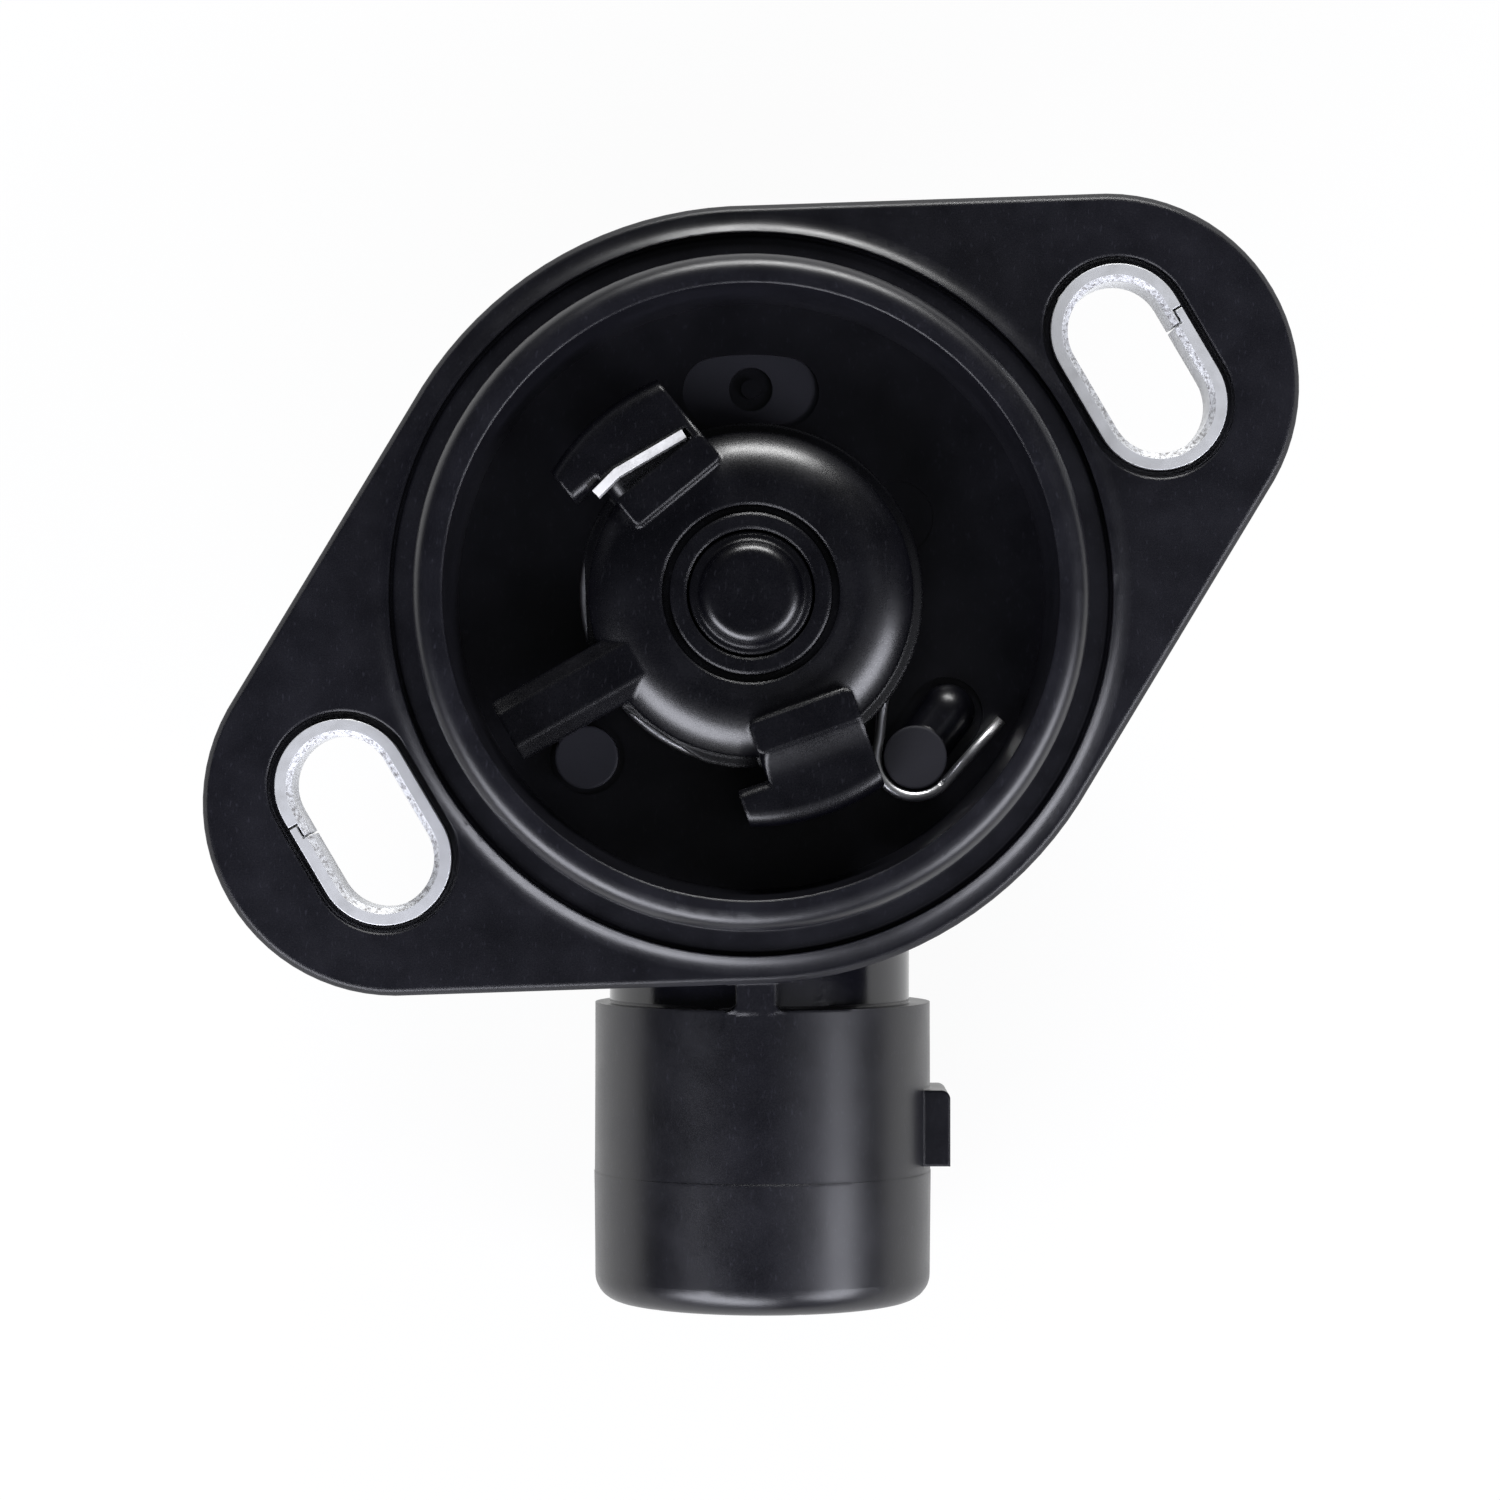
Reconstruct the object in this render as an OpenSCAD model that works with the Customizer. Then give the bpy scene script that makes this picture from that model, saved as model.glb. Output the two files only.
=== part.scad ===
// Throttle position sensor
// The origin is on the rotor axis in the flange's mounting face. +Z points out of the pilot
// towards the throttle shaft, and the connector points along -Y.

/* [Mounting flange] */
// Distance between the centres of the two screw slots
slot_pitch = 50; // [48:0.5:60]
// Angle of the line through the two slots, measured from +X
slot_line_angle = 30.4; // [10:0.2:50]
// Thickness of the flange
flange_t = 4.2; // [3.6:0.1:5]
// Radius of the round middle of the flange
flange_r = 21.65; // [21.6:0.05:23]
// Radius of the lobe at each end of the flange
lobe_r = 10.7; // [10:0.1:12]
// How far each lobe's centre lies inside the centre of its slot
lobe_inset = 2.05; // [1:0.05:3]
// Chamfer on the flange's outer edges
flange_chamfer = 0.3; // [0.1:0.05:0.4]

/* [Screw slots and bushings] */
// Width of the opening for the screw
screw_slot_w = 5.55; // [5:0.05:6]
// How far the screw can be moved along its slot
screw_travel = 4.65; // [3:0.05:6]
// Wall of the rolled steel bushing
bushing_wall = 0.95; // [0.8:0.05:1.2]
// How far the bushing stands proud of each side of the flange
bushing_proud = 0.08; // [0:0.01:0.2]
// Chamfer inside each end of the bushing
bushing_chamfer = 0.32; // [0.1:0.02:0.5]
// Width of the open joint where the rolled bushing meets itself
bushing_joint = 0.14; // [0.1:0.01:0.3]
// Length of the step in the bushing's joint
bushing_joint_step = 0.8; // [0.4:0.1:1.2]
// Width of the moat in the plastic round each bushing
moat_w = 0.45; // [0.3:0.05:0.6]
// Depth of the moat
moat_depth = 0.7; // [0.3:0.05:1.2]

/* [Pilot and cup] */
// Outer radius of the pilot that centres the sensor in its bore
pilot_r = 18.55; // [18.3:0.05:18.7]
// Height of the pilot above the mounting face
pilot_h = 4.7; // [4.2:0.1:6]
// Rounding on the pilot's outer edge
crest_round = 1.1; // [0.6:0.05:1.4]
// Fillet at the foot of the pilot
foot_fillet = 0.2; // [0.1:0.05:0.4]
// Inner radius of the cup at its mouth
cup_mouth_r = 16.85; // [16.7:0.05:17]
// Inner radius of the cup at its floor
cup_floor_r = 16.5; // [16.3:0.05:16.6]
// Depth of the cup floor below the mounting face
cup_depth = 3.6; // [3.4:0.1:4]
// Thickness of the cup floor
floor_t = 2; // [1.8:0.1:2.6]
// Inner radius of the raised lip round the pilot's foot
lip_r = 20.1; // [20:0.05:20.2]
// Height of the lip
lip_h = 0.4; // [0.25:0.05:0.4]
// Radius of the flare that runs from the lip down to the flange
lip_flare = 1.6; // [1.2:0.1:1.6]
// Width of the groove inside the lip
lip_groove_w = 0.22; // [0.16:0.02:0.3]
// Depth of the groove inside the lip
lip_groove_depth = 0.35; // [0.2:0.05:0.6]

/* [Cup floor] */
// Distance of the two spring posts from the middle plane
post_x = 9.2; // [8.8:0.1:9.6]
// Distance of the two spring posts below the rotor axis
post_y = 9.05; // [8.8:0.05:9.4]
// Radius of a spring post
post_r = 1.77; // [1.5:0.05:1.8]
// Height of a spring post above the floor
post_h = 1.75; // [1.5:0.05:1.9]
// Radius of the shallow recess round a post
post_recess_r = 2.1; // [2:0.05:2.3]
// Depth of the shallow recesses in the floor
recess_depth = 0.25; // [0.1:0.05:0.5]
// Direction of the lying rib that braces the right-hand post
brace_angle = 54; // [40:1:70]
// Length of that rib from the post's centre
brace_l = 4.75; // [4:0.05:5]
// Distance of the gate pad from the axis
gate_pad_at = 11.7; // [11.5:0.1:12.5]
// Width of the gate pad
gate_pad_w = 3.9; // [3:0.1:4.2]
// Length of the gate pad
gate_pad_l = 7.7; // [6:0.1:9]
// Radius of the dimple in the gate pad
gate_dimple_r = 1.2; // [0.8:0.05:1.4]
// Radius of the gate's nub
gate_nub_r = 0.55; // [0.4:0.05:0.7]
// Radius of the ejector pin's mark
ejector_r = 2.1; // [1.5:0.1:2.5]
// Distance of the ejector pin's mark from the axis
ejector_at = 9.3; // [9:0.1:10]
// Direction of the ejector pin's mark
ejector_angle = 28.5; // [15:0.5:40]

/* [Rotor] */
// Direction of the stop arm at rest
arm_angle = 209.4; // [205:0.1:212]
// How far the rotor turns
travel_deg = 100; // [80:1:105]
// Distance from the axis to the end of the stop arm
arm_reach = 15.5; // [14:0.1:15.8]
// Width of the arm across its flat top
arm_top_w = 2.05; // [1.6:0.05:2.4]
// Whole width of the arm
arm_w = 3.65; // [3:0.05:4]
// Height of the sloping shoulders along the arm's top
arm_slope_h = 0.7; // [0.4:0.05:1]
// Height of the arm's flat top above the mounting face
arm_top_z = 1.5; // [1.2:0.05:1.6]
// Radius in the corners between the arm and the rotor
arm_fillet = 0.6; // [0.3:0.05:0.9]
// Radius of the dome at its side
dome_r = 9; // [8.8:0.05:9.2]
// Radius at which the dome's flatter middle ends and its crown begins to fall
dome_flat_r = 5.85; // [5.6:0.05:6.3]
// Radius of the dome's crown, seen in section
dome_round = 4.5; // [4:0.1:5]
// Height of the top of the crown above the mounting face
dome_z = 1.75; // [1.6:0.05:1.9]
// How much the dome rises from its crown to its middle
dome_rise = 0.1; // [0:0.05:0.3]
// Height of the rotor's lower rim
rim_h = 0.3; // [0.2:0.05:0.5]
// Radius of the rotor's lower rim, which covers the spring
rim_r = 9.65; // [9.6:0.05:9.8]
// Distance of the two flats in the rim from the axis
rim_flat = 9.22; // [9.1:0.02:9.4]
// Angle between the arm and each flat
rim_flat_angle = 27; // [25:0.5:32]
// Outer radius of the raised collar round the shaft
collar_r = 4.47; // [4.3:0.05:4.7]
// Width of the ring groove round the collar
collar_groove_w = 0.45; // [0.3:0.05:0.6]
// Depth of the ring groove round the collar
collar_groove_depth = 0.7; // [0.3:0.05:1]
// Height of the collar above the middle of the dome
collar_rise = 0.2; // [0:0.05:0.4]
// Outer radius of the rotor's inner sleeve, inside the spring
sleeve_r = 8; // [7.6:0.05:8.2]

/* [Drive lugs] */
// Angle between the stop arm and each lug
lug_angle = 80; // [76:0.5:84]
// Height of the lugs' inner blocks above the mounting face
lug_top_z = 3.3; // [2.8:0.1:3.8]
// Distance from the axis to the inner face of the inner block
lug_inner_from = 6.7; // [6.4:0.05:7]
// Distance from the axis to the outer face of the inner block, where the mouth begins
lug_slot_from = 8.6; // [8.4:0.05:8.7]
// Width of the upper lug's slot at its closed end
lug_slot_w = 0.65; // [0.55:0.05:0.75]
// Width of the mouth for the throttle lever's tongue
lug_flare_w = 1.45; // [1.2:0.05:1.7]
// How far the lugs' outer part lies below the inner block
lug_step = 0.6; // [0.4:0.05:0.8]
// Radius of the sweep that runs down from the inner block to the outer part
lug_sweep_r = 3; // [2.4:0.1:3.6]
// Height of the slot's floor above the mounting face
lug_floor_z = 1.2; // [0.8:0.1:1.6]
// Outer radius of the lugs
lug_outer_r = 12.9; // [12.5:0.05:13.2]
// Length of the blocks on the closed side of the lug
lug_closed_l = 3.45; // [3:0.05:3.8]
// Length of the inner block on the side of the mouth
lug_inner_l = 2.55; // [2.2:0.05:3]
// Length of the outer part on the side of the mouth
lug_mouth_l = 4.3; // [4:0.05:4.5]
// Length of the straight wall at the mouth, before the slot narrows
lug_straight_l = 2.8; // [2:0.1:3.2]
// Rounding where the lug drops away at the mouth
lug_lead_r = 1; // [0.6:0.05:1.2]
// Rounding on the mouth's outer top edge
lug_mouth_r = 0.6; // [0.3:0.05:0.8]
// Rounding on the upright corners of the lugs
lug_corner_r = 0.35; // [0.2:0.05:0.5]
// Rounding on the outer top edge of the lugs
lug_edge_r = 0.95; // [0.5:0.05:1.2]
// Thickness of the folded clip in the upper lug
clip_w = 0.5; // [0.45:0.01:0.6]
// Thickness of the clip's sheet
clip_sheet = 0.14; // [0.1:0.01:0.16]
// Angle of the bend at the clip's free end
clip_bend = 15; // [10:1:18]

/* [Shaft and bearing] */
// Radius of the shaft
shaft_r = 3.4; // [3.2:0.05:3.5]
// Radius of the rounded nub at the shaft's front end
nub_r = 2.92; // [2.6:0.02:3]
// Rounding of the nub
nub_round = 0.82; // [0.5:0.02:0.9]
// Height of the nub above the shaft's shoulder
nub_h = 0.85; // [0.82:0.01:1]
// Gap that shows between the shaft and the rotor's collar
shaft_groove = 0.15; // [0.1:0.01:0.2]
// Running clearance of the shaft in its bush and seal
run_clear = 0.04; // [0.02:0.01:0.08]
// Clearance of pieces that are seated in one another
seat_clear = 0.03; // [0.01:0.01:0.06]
// Wall of the bearing bush
bush_wall = 1.45; // [1.2:0.05:1.6]
// Length of the bearing bush
bush_l = 5.2; // [4.8:0.1:5.6]
// Wall of the boss that holds the bush
boss_wall = 2.2; // [1.6:0.1:2.6]
// Outer radius of the shaft seal
seal_r = 5.5; // [5.2:0.05:5.8]
// Height of the shaft seal
seal_h = 1.65; // [1.3:0.05:1.7]
// Thickness of the thrust washer
thrust_t = 0.35; // [0.3:0.05:0.4]
// Outer radius of the thrust washer
thrust_r = 7; // [6.4:0.1:7.2]

/* [Return spring] */
// Diameter of the spring wire
wire_d = 0.6; // [0.4:0.05:0.6]
// Outer radius of the spring's coil
coil_r = 9.58; // [9.5:0.02:9.6]
// Number of turns in the coil
coil_turns = 2; // [1.8:0.1:2.1]
// Length of the straight end past the post
spring_free_l = 4.8; // [3.5:0.1:5.2]

/* [Sensing unit] */
// Radius of the wiper carrier's disc
carrier_r = 11.2; // [10.8:0.1:11.4]
// Thickness of the wiper carrier's disc
carrier_t = 1.2; // [1:0.1:1.4]
// Height of the wiper carrier's hub
carrier_h = 3.2; // [2.8:0.1:3.4]
// Radius of the wiper carrier's hub
carrier_hub_r = 6; // [5.4:0.1:6.4]
// Direction of the travel stop tab at rest
tab_angle = 140; // [130:1:150]
// Width of the travel stop tab
tab_w = 3; // [2:0.1:4]
// Free height of the wave washer
wave_h = 0.6; // [0.5:0.05:0.8]
// Thickness of the contact's sheet
contact_t = 0.2; // [0.15:0.01:0.25]
// Height of the contact's fingers over the board
finger_h = 2.3; // [2:0.1:2.6]
// Direction of the fingertips at rest
wiper_angle = -40; // [-45:1:-35]
// Radius of the element board
board_r = 15.1; // [15:0.05:15.2]
// Thickness of the element board
board_t = 1; // [0.8:0.1:1.2]
// Middle radius of the resistor track
resistor_at = 9.7; // [9.5:0.1:10]
// Middle radius of the collector track
collector_at = 6.9; // [6.7:0.1:7.2]
// Width of the two tracks
track_w = 1.6; // [1.4:0.1:1.8]
// Thickness of the two tracks
track_t = 0.1; // [0.08:0.01:0.15]

/* [Housing drum and back cover] */
// Outer radius of the drum behind the flange
drum_r = 19.2; // [18.8:0.1:19.6]
// Inner radius of the chamber behind the cup floor
chamber_r = 14.1; // [13.9:0.05:14.3]
// Thickness of the back cover
cover_t = 1.4; // [1.2:0.1:1.8]
// Radius of the back cover
cover_r = 17.7; // [17.4:0.1:17.9]
// Height of the rim inside the cover that holds the board
cover_rim_h = 1.35; // [1.2:0.05:1.6]
// Radius of the shallow panel in the cover's outer face
cover_panel_r = 13; // [11:0.5:14]
// Thickness of the cover seal's cord
cover_seal_d = 0.9; // [0.7:0.05:1]

/* [Connector] */
// Sideways place of the connector's axis
conn_x = 0.68; // [0:0.02:1]
// Outer radius of the barrel at its parting line
barrel_r = 9.75; // [9.4:0.05:9.8]
// Distance from the rotor axis to the barrel's shoulder
shoulder_at = 23.2; // [23:0.1:24]
// Distance from the rotor axis to the parting line
parting_at = 32.95; // [32.7:0.05:33.5]
// Distance from the rotor axis to the barrel's mouth
mouth_at = 40.4; // [39:0.1:42]
// Draft of the barrel each way from the parting line
barrel_draft = 0.06; // [0.02:0.01:0.1]
// Rounding of the barrel's mouth
mouth_round = 1.5; // [1:0.05:1.7]
// Wall of the barrel at the mouth
barrel_wall = 2.1; // [1.9:0.05:2.4]
// Depth of the socket
socket_depth = 14; // [12:0.5:15]
// Sideways place of the neck's axis
neck_x = 0.5; // [0:0.02:1]
// Radius of the neck
neck_r = 8.67; // [8.2:0.05:8.8]
// Width of the rib on the neck
rib_w = 2.2; // [1.6:0.1:2.6]
// Height of the latch lug above the barrel
latch_h = 1; // [0.8:0.05:1.3]
// Length of the latch lug
latch_l = 4.35; // [3.5:0.05:4.6]
// Width of the latch lug across the barrel
latch_w = 6.2; // [5:0.1:7]
// Distance from the rotor axis to the latch lug's near end
latch_at = 28.15; // [27:0.05:28.3]
// Width of a key rib inside the socket
key_w = 1.4; // [1:0.1:1.8]
// Height of a key rib inside the socket
key_h = 0.9; // [0.6:0.1:1.1]

/* [Terminals] */
// Distance between neighbouring terminals
terminal_pitch = 4.2; // [3.6:0.1:4.4]
// Width of a terminal blade
terminal_w = 2.2; // [1.8:0.1:2.4]
// Thickness of a terminal blade
terminal_t = 0.64; // [0.5:0.02:0.8]
// How far a blade's tip lies inside the mouth
terminal_inset = 4; // [3:0.1:6]
// Distance from the rotor axis to a terminal's upright leg
terminal_leg_at = 12; // [11.9:0.05:12.2]
// Width of a terminal's tail where it passes the board
tail_w = 1; // [0.8:0.05:1.2]

/* [Hidden] */
$fn = 96;

// Far enough past a face for a cut to leave no skin
over = 1;

// Heights along the rotor axis
floor_z = -cup_depth;
ceiling_z = floor_z - floor_t;
post_z = floor_z + post_h;
// Gap between the fixed cup floor parts and what turns over them
turn_gap = 0.3;
plate_z = post_z + turn_gap;
arm_base_z = plate_z + 0.2;
sleeve_z = floor_z + thrust_t + 0.1;
seal_z = floor_z - seal_h - 0.05;
bush_z = seal_z - bush_l;
wave_z = bush_z - wave_h - 0.05;
carrier_z = wave_z - carrier_h;
ring_t = 0.4;
shaft_end_z = carrier_z - ring_t - 0.5;
board_z = carrier_z - contact_t - finger_h - track_t - 0.05;
cover_in_z = board_z - board_t - cover_rim_h - 0.05;
back_z = cover_in_z - cover_t;
shaft_top_z = dome_z + dome_rise + collar_rise - 0.15;
dome_drop = dome_round - sqrt(pow(dome_round, 2) - pow(dome_r - dome_flat_r, 2));
dome_side_z = dome_z - dome_drop;

// The flange's outline. Its straight sides lie a hair inside the circles that they join, so
// that they cross them cleanly.
lobe_at = slot_pitch / 2 - lobe_inset;
tangent_angle = acos((flange_r - lobe_r) / lobe_at);
tangent_l = sqrt(pow(lobe_at, 2) - pow(flange_r - lobe_r, 2));
hair = 0.005;

// A point a little outside the tangent point of the circle of radius r at x
function on_tangent(x, r, flip) =
    [x + (r + over) * cos(tangent_angle), flip * (r + over) * sin(tangent_angle)];

// The pilot's foot and lip
lip_groove_from = lip_r - lip_groove_w;
flare_centre = lip_r + sqrt(lip_flare * lip_flare - (lip_flare - lip_h) * (lip_flare - lip_h));

// Bushing outline
bushing_w = screw_slot_w + 2 * bushing_wall;
bushing_l = flange_t + 2 * bushing_proud;

// Bearing
bush_r = shaft_r + run_clear + bush_wall;
boss_r = bush_r + boss_wall;

// The connector's axis lies so that the barrel almost reaches the plane of the back cover
barrel_rest_gap = 0.15;
conn_z = back_z + barrel_rest_gap + barrel_r;
socket_r = barrel_r - barrel_wall;
socket_end = mouth_at - socket_depth;
tip_at = mouth_at - terminal_inset;

// The spring
coil_mean_r = coil_r - wire_d / 2;
coil_low_z = floor_z + wire_d / 2 + 0.02;
coil_top_z = plate_z - turn_gap / 2 - wire_d / 2;
coil_pitch = (coil_top_z - coil_low_z) / coil_turns;
hook_r = post_r + wire_d / 2 + 0.12;
catch_clear = 0.15;
catch_depth = 1.6;

// The outer wall of a lug's mouth, and of the slot that leans in behind it
mouth_wall_x = lug_slot_from + lug_flare_w;
mouth_wall_y = lug_straight_l - lug_mouth_l;
wall_l = norm([lug_flare_w - lug_slot_w, lug_closed_l - mouth_wall_y]);
wall_turn = asin((lug_flare_w - lug_slot_w) / wall_l);
lug_span = 80;
clip_l = wall_l * 0.86;
slot_end_y = mouth_wall_y + clip_l + 0.15;
slot_end_x = mouth_wall_x - (slot_end_y - mouth_wall_y) * tan(wall_turn);

// Depth of the gap round the shaft, below the dome's crown
shaft_groove_depth = 1.2;

// Heights and widths of a lug's top
lug_outer_z = lug_top_z - lug_step;
lug_sweep_z = lug_top_z - 0.05;
lug_sweep_to = lug_slot_from + 1.65;
clip_top_z = lug_top_z - lug_step / 2;

// The chamber
ledge_z = board_z;
cover_bore_r = cover_r + 0.1;
// The carrier's tab reaches past the inner side of the two stops
stop_r = carrier_r + 0.7;
tab_r = chamber_r - 1.4;

module on_slot(side) {
    rotate([0, 0, slot_line_angle])
        translate([side * slot_pitch / 2, 0, 0])
            children();
}

// A round-ended slot, long along Y
module slot_shape(width, travel) {
    translate([-width / 2, -travel / 2])
        square([width, travel]);
    for (end = [-1, 1])
        translate([0, end * travel / 2])
            circle(d = width);
}

module slot_hole(width, travel, low, high) {
    translate([0, 0, low])
        linear_extrude(high - low)
            slot_shape(width, travel);
}

// A sloping cut round the end of a slot, from the width w at low to the width w + 2 grow
module slot_funnel(width, travel, low, high, grow) {
    h = high - low;
    for (end = [-1, 1])
        translate([0, end * travel / 2, low])
            cylinder(h = h, r1 = width / 2, r2 = width / 2 + grow);
    translate([0, travel / 2, low])
        rotate([90, 0, 0])
            linear_extrude(travel)
                polygon([
                    [-width / 2, 0],
                    [width / 2, 0],
                    [width / 2 + grow, h],
                    [-width / 2 - grow, h],
                ]);
}

module tube(inner, outer, low, high) {
    translate([0, 0, low])
        rotate_extrude()
            translate([inner, 0])
                square([outer - inner, high - low]);
}

module sector(inner, outer, from, to, low, high) {
    rotate([0, 0, from])
        translate([0, 0, low])
            rotate_extrude(angle = to - from)
                translate([inner, 0])
                    square([outer - inner, high - low]);
}

// Flange

// A disc of the flange's thickness with both of its edges chamfered
module chamfered_disc(r) {
    rotate_extrude()
        polygon([
            [0, -flange_t],
            [r - flange_chamfer, -flange_t],
            [r, -flange_t + flange_chamfer],
            [r, -flange_chamfer],
            [r - flange_chamfer, 0],
            [0, 0],
        ]);
}

// What is cut away outside one straight side, with the two chamfers of its edges
module side_cut() {
    rotate([90, 0, 0])
        linear_extrude(tangent_l + 2 * over)
            polygon([
                [0, -flange_chamfer],
                [-flange_chamfer - over, over],
                [3 * over, over],
                [3 * over, -flange_t - over],
                [-flange_chamfer - over, -flange_t - over],
                [0, -flange_t + flange_chamfer],
            ]);
}

module flange() {
    rotate([0, 0, slot_line_angle])
        difference() {
            union() {
                chamfered_disc(flange_r);
                for (side = [-1, 1]) {
                    translate([side * lobe_at, 0, 0])
                        chamfered_disc(lobe_r);
                    translate([0, 0, -flange_t])
                        linear_extrude(flange_t)
                            polygon([
                                [0, 0],
                                side * on_tangent(0, flange_r, 1),
                                side * on_tangent(lobe_at, lobe_r, 1),
                                [side * lobe_at, 0],
                                side * on_tangent(lobe_at, lobe_r, -1),
                                side * on_tangent(0, flange_r, -1),
                            ]);
                }
            }
            for (side = [0, 1], flip = [0, 1])
                mirror([side, 0, 0])
                    mirror([0, flip, 0])
                        rotate([0, 0, tangent_angle])
                            translate([flange_r - hair, over, 0])
                                side_cut();
        }
}

// Pilot, foot fillet and lip, turned from one profile
module pilot_profile() {
    inner = cup_floor_r - over;
    translate([inner, -over])
        square([pilot_r - crest_round - inner, over + pilot_h]);
    translate([inner, -over])
        square([pilot_r - inner, over + pilot_h - crest_round]);
    translate([pilot_r - crest_round, pilot_h - crest_round])
        circle(crest_round);
    difference() {
        translate([pilot_r - 0.1, -over])
            square([foot_fillet + 0.1, over + foot_fillet]);
        translate([pilot_r + foot_fillet, foot_fillet])
            circle(foot_fillet);
    }
    difference() {
        translate([lip_r, -over])
            square([flare_centre - lip_r, over + lip_h]);
        translate([flare_centre, lip_flare])
            circle(lip_flare);
    }
}

module cup_space() {
    rotate_extrude()
        polygon([
            [0, floor_z],
            [cup_floor_r, floor_z],
            [cup_mouth_r, pilot_h],
            [cup_mouth_r + 0.35, pilot_h + 0.35],
            [0, pilot_h + 0.35],
        ]);
}

module chamber_space() {
    rotate_extrude()
        polygon([
            [0, ceiling_z],
            [chamber_r, ceiling_z],
            [chamber_r, ledge_z],
            [board_r + 0.1, ledge_z],
            [board_r + 0.1, cover_in_z],
            [cover_bore_r, cover_in_z],
            [cover_bore_r, back_z - over],
            [0, back_z - over],
        ]);
}

// Connector

module along_connector(x) {
    translate([x, 0, conn_z])
        rotate([90, 0, 0])
            children();
}

module barrel_profile() {
    end_r = barrel_r - barrel_draft;
    difference() {
        union() {
            polygon([
                [0, shoulder_at],
                [end_r, shoulder_at],
                [barrel_r - barrel_draft / 2, parting_at],
                [barrel_r, parting_at],
                [end_r, mouth_at - mouth_round],
                [0, mouth_at - mouth_round],
            ]);
            translate([end_r - mouth_round, mouth_at - mouth_round])
                intersection() {
                    circle(mouth_round);
                    square(mouth_round);
                }
            translate([0, mouth_at - mouth_round - 0.1])
                square([end_r - mouth_round, mouth_round + 0.1]);
        }
        translate([0, socket_end])
            square([socket_r, socket_depth + over]);
    }
}

module latch_lug() {
    corner = latch_h / 2;
    side = sqrt(barrel_r * barrel_r - latch_w * latch_w / 4) - 0.5;
    translate([conn_x + side, -latch_at - latch_l, conn_z - latch_w / 2])
        linear_extrude(latch_w)
            difference() {
                square([barrel_r + latch_h - side, latch_l]);
                translate([barrel_r + latch_h - side - corner, latch_l - corner])
                    difference() {
                        square(corner + over);
                        circle(corner);
                    }
            }
}

module neck() {
    along_connector(neck_x)
        translate([0, 0, chamber_r + over])
            cylinder(h = shoulder_at - chamber_r, r = neck_r);
}

// The rib fills the step between the flange's edge and the shoulder, flush with the barrel
module neck_rib() {
    top = conn_z + barrel_r - barrel_draft;
    foot = 0.7;
    rib_x = neck_x - 0.2;
    near = drum_r - over;
    translate([rib_x - rib_w / 2, -shoulder_at - 0.2, conn_z])
        cube([rib_w, shoulder_at + 0.2 - near, top - conn_z]);
    for (side = [-1, 1])
        translate([rib_x + side * (rib_w / 2 - 0.05), -shoulder_at - 0.1, conn_z + neck_r - 0.6])
            linear_extrude(top - conn_z - neck_r + 0.6)
                difference() {
                    translate([side < 0 ? -foot : 0, 0])
                        square([foot, foot]);
                    translate([side * foot, foot])
                        circle(foot);
                }
}

module key_ribs() {
    for (turn = [90, 270])
        along_connector(conn_x)
            rotate([0, 0, turn])
                translate([socket_r - key_h, -key_w / 2, socket_end - 0.5])
                    cube([key_h + 0.5, key_w, socket_depth - mouth_round]);
}

module terminal_hole(index) {
    gap = seat_clear;
    translate([conn_x + index * terminal_pitch, -tip_at, conn_z])
        translate([-terminal_w / 2 - gap, 0, -terminal_t / 2 - gap])
            cube([terminal_w + 2 * gap, tip_at - terminal_leg_at, terminal_t + 2 * gap]);
}

// Cup floor

module spring_post(side) {
    translate([side * post_x, -post_y, floor_z - recess_depth])
        cylinder(h = post_h + recess_depth, r = post_r);
}

// The lying rib has a round top and stands against the post
module post_brace() {
    r = post_r - 0.25;
    low = floor_z - recess_depth;
    height = post_h + recess_depth - 0.15;
    translate([post_x, -post_y, low])
        rotate([0, 0, brace_angle])
            intersection() {
                translate([0, 0, height - r])
                    union() {
                        rotate([0, 90, 0])
                            cylinder(h = brace_l - r, r = r);
                        translate([brace_l - r, 0, 0])
                            sphere(r);
                    }
                translate([0, -r, -0.1])
                    cube([brace_l, 2 * r, height + over]);
            }
}

module floor_recesses() {
    for (side = [-1, 1])
        translate([side * post_x, -post_y, floor_z - recess_depth])
            cylinder(h = recess_depth + over, r = post_recess_r);
    translate([post_x, -post_y, floor_z - recess_depth])
        rotate([0, 0, brace_angle])
            translate([0, -post_recess_r, 0])
                cube([brace_l - post_recess_r + 0.35, 2 * post_recess_r, recess_depth + over]);
    translate([post_x, -post_y, floor_z - recess_depth])
        rotate([0, 0, brace_angle])
            translate([brace_l - post_recess_r + 0.35, 0, 0])
                cylinder(h = recess_depth + over, r = post_recess_r);
    gate_pad();
    rotate([0, 0, ejector_angle])
        translate([ejector_at, 0, floor_z - recess_depth / 3])
            cylinder(h = over, r = ejector_r);
}

module gate_pad() {
    half = (gate_pad_l - gate_pad_w) / 2 / gate_pad_at * 180 / PI;
    low = floor_z - recess_depth;
    rotate([0, 0, 90]) {
        sector(
            gate_pad_at - gate_pad_w / 2, gate_pad_at + gate_pad_w / 2,
            -half, half, low, floor_z + over
        );
        for (end = [-1, 1])
            rotate([0, 0, end * half])
                translate([gate_pad_at, 0, low])
                    cylinder(h = recess_depth + over, d = gate_pad_w);
    }
    translate([0, gate_pad_at, low - recess_depth])
        cylinder(h = recess_depth + over, r = gate_dimple_r);
}

module gate_nub() {
    low = floor_z - 2 * recess_depth;
    translate([0, gate_pad_at, low - 0.1])
        cylinder(h = recess_depth + 0.2, r = gate_nub_r);
}

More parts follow.
